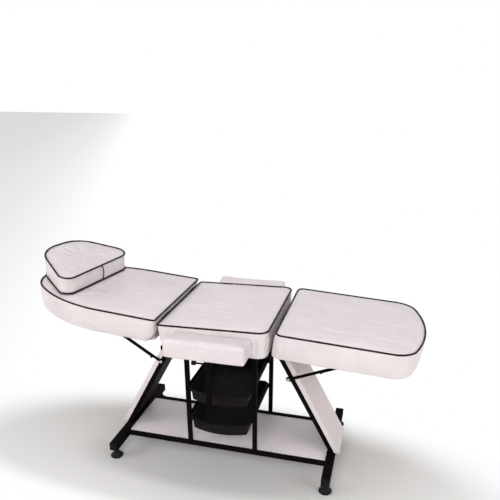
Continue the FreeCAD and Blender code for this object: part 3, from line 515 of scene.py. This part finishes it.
# the same laminate in a darker tone: painted shade for the leg panels
panel_white_painted_shade = laminate("panel_white_painted_shade", (0.62, 0.555, 0.575), (0.71, 0.645, 0.665))
board_wood = birch("plywood")
bolt_silver = zinc("bolt_silver")
BY_SLOT = {
    "upholstery_white": white,
    "piping_black": cord_black,
    "frame_black": frame_black,
    "plastic_black": tray_black,
    "foot_black": foot_black,
    "laminate_white": board_white,
    "plywood": board_wood,
    "bolt_silver": bolt_silver,
}
slot_of = {part["node"]: part["material_slot"] for part in frame["record"]["subparts"]}
for name, part in cad_nodes.items():
    part.data.materials.clear()
    # the leg panels are the shelf's laminate, darkened with painted shade
    part.data.materials.append(panel_white_painted_shade if name.startswith("leg_panel_") else BY_SLOT[slot_of[name]])


def finish_piece(piece, slot, body, *replaced):
    piece.data.materials.clear()
    piece.data.materials.append(BY_SLOT[slot])
    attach(piece, body)
    if replaced:
        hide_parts(*replaced)


# Upholstery
def cushion_rings(outline, bottom, edge, tilt):
    # lower edge, sides drawn in towards it, then the crown as (inset, share of its height)
    rings = [outline.ring(SIDE_TUCK + 2, bottom), outline.ring(SIDE_TUCK, bottom + 2.5)]
    steps = 9
    for k in range(1, steps + 1):
        f = k / steps
        height = bottom + 2.5 + f * (edge - 4 - bottom)
        inset = SIDE_TUCK * (1 - f) + 0.6 * math.sin(math.pi * f)
        rings.append(outline.ring(inset, height, tilt * f))
    rings.append(outline.ring(3.2, edge - 0.3, tilt))
    for inset, share in ((8, 0.22), (18, 0.5), (36, 0.78), (70, 1.0)):
        rings.append(outline.ring(inset, edge + CROWN * share, tilt))
    return rings


def cover(name, outline, bottom, edge, tilt, shape, creases, side_cap):
    # sewn cover over foam: even skin, swollen between the seam and the lower edge, then creased
    rings = shape(cushion_rings(outline, bottom, edge, tilt))
    data = remeshed(name, skin(name + "_form", rings), VOXEL)
    made = new_object(name, data)
    seam = tree_of(outline.ring(SEAM_INSET, edge, tilt))
    low = (bottom + 7.0) * MM
    near = SEAM_HELD * MM
    held = [v.index for v in data.vertices if v.co.z < low or seam.find(v.co)[2] < near]
    inflate(made, held, COVER_PRESSURE, side_cap, COVER_LIFT, slack=0.004)
    fixed = set(held)
    relaxed(data, 2, fixed)
    slope = math.tan(math.radians(tilt))
    ceiling = edge + CEILING
    for v in data.vertices:
        if v.index in fixed:
            continue
        v.co.z = min(v.co.z, ceiling * MM + v.co.x * slope)
        v.co += creases(v.co, v.normal, seam.find(v.co)[2])
    smooth_shaded(data)
    return made


def tucked_under(made, outline, bottom):
    # opens the underside round the board: a narrow rim, the pocket's wall and its ceiling
    mesh = bmesh.new()
    mesh.from_mesh(made.data)
    low = (bottom + 0.7) * MM
    flat = [f for f in mesh.faces if all(v.co.z < low for v in f.verts)]
    bmesh.ops.delete(mesh, geom=flat, context="FACES")
    rim = [e for e in mesh.edges if e.is_boundary]
    pocket = outline.ring(BOARD_INSET - 1.2, bottom)
    tree = tree_of(pocket)
    inner, upper = {}, {}
    for v in {v for e in rim for v in e.verts}:
        spot = tree.find(Vector((v.co.x, v.co.y, bottom * MM)))[0]
        inner[v] = mesh.verts.new(spot)
        upper[v] = mesh.verts.new(spot + Vector((0, 0, (BOARD + 1.0) * MM)))
    for e in rim:
        a, b = e.verts
        mesh.faces.new((a, b, inner[b], inner[a]))
        mesh.faces.new((inner[a], inner[b], upper[b], upper[a]))
    mesh.verts.ensure_lookup_table()
    lid = [e for e in mesh.edges if e.is_boundary]
    bmesh.ops.holes_fill(mesh, edges=lid, sides=0)
    bmesh.ops.remove_doubles(mesh, verts=list(upper.values()) + list(inner.values()), dist=1e-5)
    bmesh.ops.recalc_face_normals(mesh, faces=mesh.faces)
    mesh.to_mesh(made.data)
    mesh.free()


def seam_puckers(co, normal, away, size, reach=0.03):
    # short gathers beside the seam and a slow unevenness across the cloth
    near = math.exp(-(away / reach) ** 2)
    gather = noise.noise(Vector((co.x * 55.0, co.y * 55.0, co.z * 22.0)))
    slow = noise.noise(Vector((co.x * 9.0 + 3.1, co.y * 9.0, co.z * 9.0)))
    return normal * ((gather * near * 1.3 + slow * (1.0 - near) * 1.6) * size * MM)


def fold(co, start, end, width, depth):
    # one pressed crease between two points, seen from above
    a, b = Vector(start) * MM, Vector(end) * MM
    run = b - a
    p = Vector((co.x, co.y)) - a
    t = max(0.0, min(1.0, p.dot(run) / run.length_squared))
    gap = (p - run * t).length / (width * MM)
    taper = math.sin(math.pi * min(max(t, 0.02), 0.98))
    return -depth * MM * taper * (math.exp(-gap * gap) - 0.6 * math.exp(-(gap - 1.7) ** 2))


def pleat(co, spot, width, depth, low, high):
    # one upright fold in a side, deepest at mid height
    gap = math.hypot(co.x / MM - spot[0], co.y / MM - spot[1]) / width
    share = (co.z / MM - low) / (high - low)
    if gap > 3.0 or not 0.0 < share < 1.0:
        return 0.0
    across = math.exp(-gap * gap) - 0.5 * math.exp(-(gap - 1.6) ** 2)
    return -depth * MM * math.sin(math.pi * share) * across


def creased(folds, pleats, size, bottom, edge):
    # the shift of one cover point: puckers everywhere, folds on top, pleats in the sides
    def move(co, normal, away):
        shift = seam_puckers(co, normal, away, size)
        if normal.z > 0.7:
            for start, end, width, depth in folds:
                shift += Vector((0, 0, fold(co, start, end, width, depth)))
        elif abs(normal.z) < 0.5:
            for spot, width, depth in pleats:
                shift += normal * pleat(co, spot, width, depth, bottom + 8.0, edge - 4.0)
        return shift
    return move


def seat_shape(rings):
    # head end cut back below, where the backrest swings
    for ring in rings:
        for p in ring:
            rise = (p.z / MM - SEAT["bottom"]) / 54.0
            least = (SEAT_START + 25.0 * max(0.0, 1.0 - rise)) * MM
            p.x = max(p.x, least)
    return rings


def back_shape(rings):
    # seat end cut back below, for the same swing
    for ring in rings:
        for p in ring:
            rise = (p.z / MM - BACK["bottom"]) / 45.0
            most = (-BACK_START - 36.0 * max(0.0, 1.0 - rise)) * MM
            p.x = min(p.x, most)
    return rings


def legrest_shape(rings):
    # start face sloped towards the seat below
    for ring in rings:
        for p in ring:
            share = (p.z / MM - LEGREST["bottom"]) / (LEGREST["edge"] - LEGREST["bottom"])
            near = (330.0 - p.x / MM) / 66.0
            p.x -= 20.0 * max(0.0, 1.0 - share) * max(0.0, min(1.0, near)) * MM
    return rings


SEAT_OUTLINE = Outline(seat_pieces, PATH_STEP)
BACK_OUTLINE = Outline(back_pieces, PATH_STEP, turned=True)
LEGREST_OUTLINE = Outline(legrest_pieces, PATH_STEP)
PILLOW_OUTLINE = Outline(pillow_pieces, PATH_STEP)

# folds: start, end, width, depth; pleats: spot, width, depth
SEAT_FOLDS = [
    ((-70, -100), (25, -25), 12, 3.0), ((-150, -170), (-60, -115), 12, 2.4),
    ((-200, 40), (-60, 130), 13, 2.2),
    ((10, -200), (110, -130), 13, 2.4), ((110, -10), (200, 60), 13, 2.2),
]
BACK_FOLDS = [
    ((-625, -55), (-570, -115), 11, 3.5), ((-585, 25), (-530, -65), 11, 3.2),
    ((-680, -190), (-600, -125), 11, 3.0),
    ((-480, 20), (-380, -20), 13, 2.2), ((-420, 130), (-330, 90), 14, 1.9),
]
LEGREST_FOLDS = [
    ((420, -170), (560, -190), 13, 2.4), ((600, -20), (790, -30), 13, 2.2),
    ((480, 60), (660, 60), 14, 1.9),
    ((620, -170), (780, -190), 13, 2.2), ((330, -140), (400, -150), 12, 2.2),
]
SEAT_PLEATS = [
    ((192, -287.5), 8, 4.0), ((218, -283), 7, 4.6), ((237, -266), 7, 4.6), ((243, -232), 9, 3.6),
    ((-190, -287.5), 11, 2.4),
]
BACK_PLEATS = [
    ((-952, -40), 8, 4.0), ((-943, -72), 8, 4.6), ((-929, -102), 8, 4.8), ((-910, -131), 8, 4.6),
    ((-886, -158), 9, 4.0), ((-858, -183), 9, 3.2), ((-540, -285), 11, 2.6), ((-700, -262), 11, 2.8),
]
LEGREST_PLEATS = [
    ((300, -287), 10, 2.6), ((560, -287), 13, 2.2), ((800, -270), 9, 3.0), ((846, -215), 9, 3.0),
]


def section(name, body, outline, facts, at, shape, folds, pleats, side_cap, reach):
    # one of the three large cushions: cover and piping cord
    bottom, edge, tilt = facts["bottom"], facts["edge"], facts["tilt"]
    creases = creased(folds, pleats, 0.8, bottom, edge)
    made = cover(name + "_cover", outline, bottom, edge, tilt, shape, creases, side_cap)
    tucked_under(made, outline, bottom)
    made.data.transform(at)
    smooth_shaded(made.data)
    finish_piece(made, "upholstery_white", body, name + "_cushion")
    path = outline.ring(CORD_INSET, edge + CORD_RISE, tilt)
    for p in path:
        # end beside the hinge pressed towards the next cushion
        if reach and abs(p.x / MM - reach[0]) < 8.0:
            p.x += reach[1] * MM
    cord = tube(name + "_cord", path, PIPING_RADIUS, ripple=PIPING_RIPPLE)
    cord.data.transform(at)
    finish_piece(cord, "piping_black", body, name + "_piping")


section("seat", "base", SEAT_OUTLINE, SEAT, AT_SEAT, seat_shape, SEAT_FOLDS, SEAT_PLEATS,
        side_cap=2.6, reach=(-245.4, -1.5))
section("backrest", "backrest", BACK_OUTLINE, BACK, AT_BACK, back_shape, BACK_FOLDS, BACK_PLEATS,
        side_cap=3.4, reach=(-260.6, 1.5))
section("legrest", "legrest", LEGREST_OUTLINE, LEGREST, AT_LEGREST, legrest_shape, LEGREST_FOLDS,
        LEGREST_PLEATS, side_cap=4.0, reach=None)

PILLOW_FOLDS = [
    ((20, -30), (-110, -60), 11, 2.2), ((10, 10), (-90, 90), 11, 2.2), ((30, 20), (60, 190), 12, 2.0),
    ((40, -10), (120, -150), 12, 2.0), ((60, -30), (90, -210), 11, 1.8), ((-20, -10), (-140, 20), 11, 2.0),
    ((50, 30), (120, 110), 12, 1.8),
]


def pillow():
    low = PILLOW["low"]
    seam = low + 3.7
    edge = low + PILLOW["thickness"]
    tilt = -PILLOW["rise"]
    ring = PILLOW_OUTLINE.ring
    rings = [ring(30, low), ring(9, low + 0.6), ring(3.4, seam)]
    steps = 7
    for k in range(1, steps):
        f = k / steps
        rings.append(ring(1.5 + 2.5 * math.sin(math.pi * f), seam + 2 + f * (edge - seam - 4), tilt * f))
    rings.append(ring(3.2, edge - 0.3, tilt))
    for inset, share in ((8, 0.22), (18, 0.5), (36, 0.8), (55, 1.0)):
        rings.append(ring(inset, edge + CROWN * share, tilt))
    data = remeshed("pillow_cover", skin("pillow_form", rings), VOXEL)
    made = new_object("pillow_cover", data)
    seams = tree_of(ring(SEAM_INSET, edge, tilt) + ring(SEAM_INSET, seam))
    top_creases = creased(PILLOW_FOLDS, [], 0.9, low, edge)
    flat = (low + 0.5) * MM
    near = SEAM_HELD * MM
    held = [v.index for v in data.vertices if v.co.z < flat or seams.find(v.co)[2] < near]
    inflate(made, held, COVER_PRESSURE, 5.0, 8.0, slack=0.006)
    fixed = set(held)
    relaxed(data, 2, fixed)
    for v in data.vertices:
        if v.index not in fixed:
            v.co += top_creases(v.co, v.normal, seams.find(v.co)[2])
    smooth_shaded(data)
    data.transform(AT_PILLOW)
    finish_piece(made, "upholstery_white", "head_pillow", "pillow")
    upper_path = ring(CORD_INSET, edge + CORD_RISE, tilt)
    lower_path = ring(CORD_INSET, seam + 0.4)
    cord = tube("pillow_cord", upper_path, PIPING_RADIUS, ripple=PIPING_RIPPLE)
    lower = tube("pillow_cord_lower", lower_path, PIPING_RADIUS, ripple=PIPING_RIPPLE)
    for piece in (cord, lower):
        piece.data.transform(AT_PILLOW)
    finish_piece(cord, "piping_black", "head_pillow", "pillow_piping")
    finish_piece(lower, "piping_black", "head_pillow")
    # curved seam up the side
    join = []
    for i in range(15):
        t = i / 14
        bow = math.sin(math.pi * t)
        join.append(Vector((149.0 + 2.2 * bow, -6.0 + 9.0 * bow, seam + t * (edge - 14.6 - seam))) * MM)
    closing = tube("pillow_side_seam", join, 2.2, sides=8, closed=False)
    closing.data.transform(AT_PILLOW)
    finish_piece(closing, "piping_black", "head_pillow")


pillow()


# pad: cross-section as (Y, Z, corner radius), and how far it draws in along X
PAD_CORNERS = [(-420.0, 669.0, 7.0), (-291.0, 669.0, 7.0), (-291.0, 733.0, 13.0), (-420.0, 751.0, 9.0)]
PAD_MIDDLE_X = 5.0
PAD_STATIONS = ((-174, 6), (-172, 2.5), (-166, 1), (-150, 0.6), (0, 0.5),
                (150, 0.6), (166, 1), (172, 2.5), (174, 6))


def armrest(name, sign):
    counts = [max(3, round(piece_length(p) / PATH_STEP)) for p in polygon_pieces(PAD_CORNERS, 0.0)]
    rings = []
    for along, draw in PAD_STATIONS:
        outline = sampled(polygon_pieces(PAD_CORNERS, draw), counts)
        rings.append([Vector((PAD_MIDDLE_X + along, sign * -y, z)) * MM for y, z in outline])
    data = remeshed(name, skin(name + "_form", rings), PAD_VOXEL)
    made = new_object(name, data)
    held = [v.index for v in data.vertices if v.co.z < 674.0 * MM]
    inflate(made, held, PAD_PRESSURE, 0.8, 3.2, slack=0.004)
    relaxed(data, 1, set(held))
    for v in data.vertices:
        v.co += v.normal * (0.5 * MM * noise.noise(v.co * 14.0))
    smooth_shaded(data)
    data.transform(SHIFT)
    return made


for side, sign in (("front", -1.0), ("rear", 1.0)):
    pad = armrest("armrest_cover_" + side, sign)
    finish_piece(pad, "upholstery_white", "armrest_" + side, "armrest_pad_" + side)


# Turned pieces
def lathe(name, profile, sides=40, lobes=0, swell=0.0):
    # body of revolution about Z from (radius, height) points in mm, the widest stretch lobed
    mesh = bmesh.new()
    widest = max(r for r, _ in profile)
    rows = []
    for r, z in profile:
        row = []
        for k in range(sides):
            angle = 2 * math.pi * k / sides
            wide = r * (1.0 + swell * math.cos(lobes * angle)) if lobes and r > 0.6 * widest else r
            row.append(mesh.verts.new(Vector((wide * math.cos(angle), wide * math.sin(angle), z)) * MM))
        rows.append(row)
    for low, high in zip(rows, rows[1:]):
        for k in range(sides):
            n = (k + 1) % sides
            mesh.faces.new((low[k], low[n], high[n], high[k]))
    mesh.faces.new(list(reversed(rows[0])))
    mesh.faces.new(rows[-1])
    bmesh.ops.recalc_face_normals(mesh, faces=mesh.faces)
    for edge in mesh.edges:
        edge.smooth = len(edge.link_faces) == 2 and edge.calc_face_angle(0.0) < math.radians(38)
    data = bpy.data.meshes.new(name)
    mesh.to_mesh(data)
    mesh.free()
    smooth_shaded(data)
    return data


FOOT_PROFILE = [
    (25.5, 0), (27.0, 0.3), (27.6, 1.6), (27.6, 3.0), (29.2, 3.4), (30.0, 4.4), (30.0, 8.0), (29.4, 9.2),
    (26.0, 10.6), (21.5, 13.6), (18.0, 18.0), (15.6, 23.0), (13.9, 29.0), (12.8, 35.0), (12.3, 40.0),
    (12.3, 46.8), (11.4, 47.6), (5.0, 47.7), (5.0, 62.0),
]
KNOB_PROFILE = [
    (6.4, 0.0), (8.6, 0.7), (10.2, 2.4), (10.7, 5.0), (10.7, 15.0), (9.8, 17.4), (7.2, 19.2), (6.0, 20.0),
    (4.0, 20.0), (4.0, 61.6),
]
BOLT_PROFILE = [
    (4.0, 0.0), (4.0, 18.8), (8.0, 18.8), (8.0, 19.6), (7.6, 21.2), (6.4, 22.8), (4.6, 23.6), (2.4, 23.8),
    (2.2, 22.6),
]


def placed(x, y, z, degrees=0.0, axis="X"):
    turn = Matrix.Rotation(math.radians(degrees), 4, axis)
    return SHIFT @ Matrix.Translation((x * MM, y * MM, z * MM)) @ turn


for end, x in (("head", -FOOT_X), ("foot", FOOT_X)):
    for side, y in (("front", -FOOT_Y), ("rear", FOOT_Y)):
        place = end + "_" + side
        name = "glide_foot_" + place
        foot = new_object("foot_" + place, lathe("foot_" + place, FOOT_PROFILE))
        foot.data.transform(placed(x, y, 0))
        finish_piece(foot, "foot_black", name, name)
for side, y in (("front", -KNOB_Y), ("rear", KNOB_Y)):
    knob = new_object("knob_" + side, lathe("knob_" + side, KNOB_PROFILE, sides=48, lobes=6, swell=0.055))
    knob.data.transform(placed(KNOB_X, y, KNOB_Z, 90, "Y"))
    finish_piece(knob, "plastic_black", "armrest_knob_" + side, "armrest_knob_" + side)

bolts = bmesh.new()
for x, z in BOLT_SPOTS:
    for way in (-1.0, 1.0):
        one = lathe("bolt", BOLT_PROFILE, sides=24)
        one.transform(placed(x, way * BOLT_Y, z, -90 * way))
        bolts.from_mesh(one)
bolt_data = bpy.data.meshes.new("pivot_bolts")
bolts.to_mesh(bolt_data)
bolts.free()
finish_piece(new_object("pivot_bolts", bolt_data), "bolt_silver", "base", "strut_pivot_bolts")


# Stage, in metres and watts
FLOOR_HALF = 30.0
FLOOR_Z = -0.0004
WORLD_LIGHT = 0.36
AIM = (0.0, 0.0, 0.6)
WARM = (1.0, 0.985, 0.965)


def background_rays(tree):
    # 1 for the rays that show the background: straight from the camera, mirrored or through glass
    rays = node(tree, "ShaderNodeLightPath")
    seen = rays.outputs["Is Camera Ray"]
    for kind in ("Is Glossy Ray", "Is Transmission Ray"):
        more = node(tree, "ShaderNodeMath", operation="MAXIMUM")
        tree.links.new(seen, more.inputs[0])
        tree.links.new(rays.outputs[kind], more.inputs[1])
        seen = more.outputs["Value"]
    return seen


def floor_material():
    # pale floor with a painted shadow: a soft grey pool round the bed that turns to white further off, and a
    # white glow for camera rays with painted shade further along -X and -Y
    made, tree, shader = material("floor_pale")
    output = tree.nodes["Material Output"]
    where = node(tree, "ShaderNodeNewGeometry").outputs["Position"]
    split = node(tree, "ShaderNodeSeparateXYZ")
    tree.links.new(where, split.inputs["Vector"])
    along = spread(tree, split.outputs["X"], -1.0, 1.0, -1.35, 1.35)
    along.node.clamp = False
    front = spread(tree, split.outputs["Y"], 1.0, 0.0, -0.58, -0.28)
    front.node.clamp = False
    back = spread(tree, split.outputs["Y"], 0.0, 1.0, -0.28, 0.24)
    back.node.clamp = False
    across = node(tree, "ShaderNodeMath", operation="MAXIMUM")
    tree.links.new(front, across.inputs[0])
    tree.links.new(back, across.inputs[1])
    both = node(tree, "ShaderNodeCombineXYZ")
    tree.links.new(along, both.inputs["X"])
    tree.links.new(across.outputs["Value"], both.inputs["Y"])
    away = node(tree, "ShaderNodeVectorMath", operation="LENGTH")
    tree.links.new(both.outputs["Vector"], away.inputs[0])
    share = spread(tree, away.outputs["Value"], 0.0, 1.0, 0.0, 2.0)
    # grey pool round the bed, darkest close to it: painted shadow in the floor's colour
    painted_shadow_pool = ((0.16, 0.55), (0.27, 0.72), (0.44, 0.745), (0.58, 0.92))
    tree.links.new(ramp(tree, share, [(spot, (g, g, g)) for spot, g in painted_shadow_pool]), shader.inputs["Base Color"])
    shader.inputs["Roughness"].default_value = 0.9
    shader.inputs["Specular IOR Level"].default_value = 0.05
    far = node(tree, "ShaderNodeMapRange", interpolation_type="SMOOTHSTEP")
    far.inputs["From Min"].default_value = 0.85
    far.inputs["From Max"].default_value = 1.35
    tree.links.new(away.outputs["Value"], far.inputs["Value"])
    part = node(tree, "ShaderNodeMath", operation="MULTIPLY")
    tree.links.new(far.outputs["Result"], part.inputs[0])
    tree.links.new(background_rays(tree), part.inputs[1])
    glow = node(tree, "ShaderNodeEmission")
    # white glow for camera rays, greyer further along -X and -Y: painted shade
    tilted = node(tree, "ShaderNodeVectorMath", operation="DOT_PRODUCT")
    tilted.inputs[1].default_value = (-1.0, -0.45, 0.0)
    tree.links.new(where, tilted.inputs[0])
    painted_backdrop_shade = spread(tree, tilted.outputs["Value"], 0.0, 1.0, 0.0, 8.0)
    painted_shade_greys = ((0.17, 1.0), (0.25, 0.90), (0.33, 0.83), (0.56, 0.74), (0.9, 0.71))
    tree.links.new(ramp(tree, painted_backdrop_shade, [(spot, (g, g, g)) for spot, g in painted_shade_greys]), glow.inputs["Color"])
    mix = node(tree, "ShaderNodeMixShader")
    tree.links.new(part.outputs["Value"], mix.inputs["Fac"])
    tree.links.new(shader.outputs["BSDF"], mix.inputs[1])
    tree.links.new(glow.outputs["Emission"], mix.inputs[2])
    tree.links.new(mix.outputs["Shader"], output.inputs["Surface"])
    return made


def stage():
    mesh = bpy.data.meshes.new("floor")
    half = FLOOR_HALF
    corners = [(-half, -half, 0), (half, -half, 0), (half, half, 0), (-half, half, 0)]
    mesh.from_pydata(corners, [], [(0, 1, 2, 3)])
    floor = new_object("floor", mesh)
    floor.location.z = FLOOR_Z
    mesh.materials.append(floor_material())
    world = bpy.data.worlds.new("studio")
    world.use_nodes = True
    tree = world.node_tree
    back = tree.nodes["Background"]
    back.inputs["Color"].default_value = (1.0, 1.0, 1.0, 1.0)
    tree.links.new(spread(tree, background_rays(tree), WORLD_LIGHT, 1.0), back.inputs["Strength"])
    scene.world = world


def softbox(name, spot, target, size, power, colour):
    data = bpy.data.lights.new(name, "AREA")
    data.shape = "RECTANGLE"
    data.size, data.size_y = size
    data.energy = power
    data.color = colour
    lamp = bpy.data.objects.new(name, data)
    scene.collection.objects.link(lamp)
    lamp.location = spot
    lamp.rotation_euler = (Vector(target) - Vector(spot)).to_track_quat("-Z", "Y").to_euler()


stage()
softbox("key", (0.3, -3.5, 2.5), AIM, (2.6, 1.6), 72.0, (1.0, 0.985, 0.96))
softbox("right", (3.3, -1.5, 1.7), (0.2, 0.0, 0.6), (1.8, 1.6), 43.0, WARM)
softbox("left", (-3.2, -1.8, 1.8), (-0.2, 0.0, 0.6), (1.8, 1.6), 46.0, WARM)
softbox("top", (0.2, -0.1, 3.4), AIM, (3.0, 1.8), 35.0, (0.965, 0.945, 1.0))

lens = bpy.data.cameras.new("camera")
lens.lens = 39.07
lens.sensor_width = 36.0
lens.shift_y = 0.15
camera = bpy.data.objects.new("camera", lens)
scene.collection.objects.link(camera)
camera.location = (0.683 + STANCE_X * MM, -2.248, 1.702)
camera.rotation_euler = (math.radians(65.94), 0.0, math.radians(14.67))
scene.camera = camera
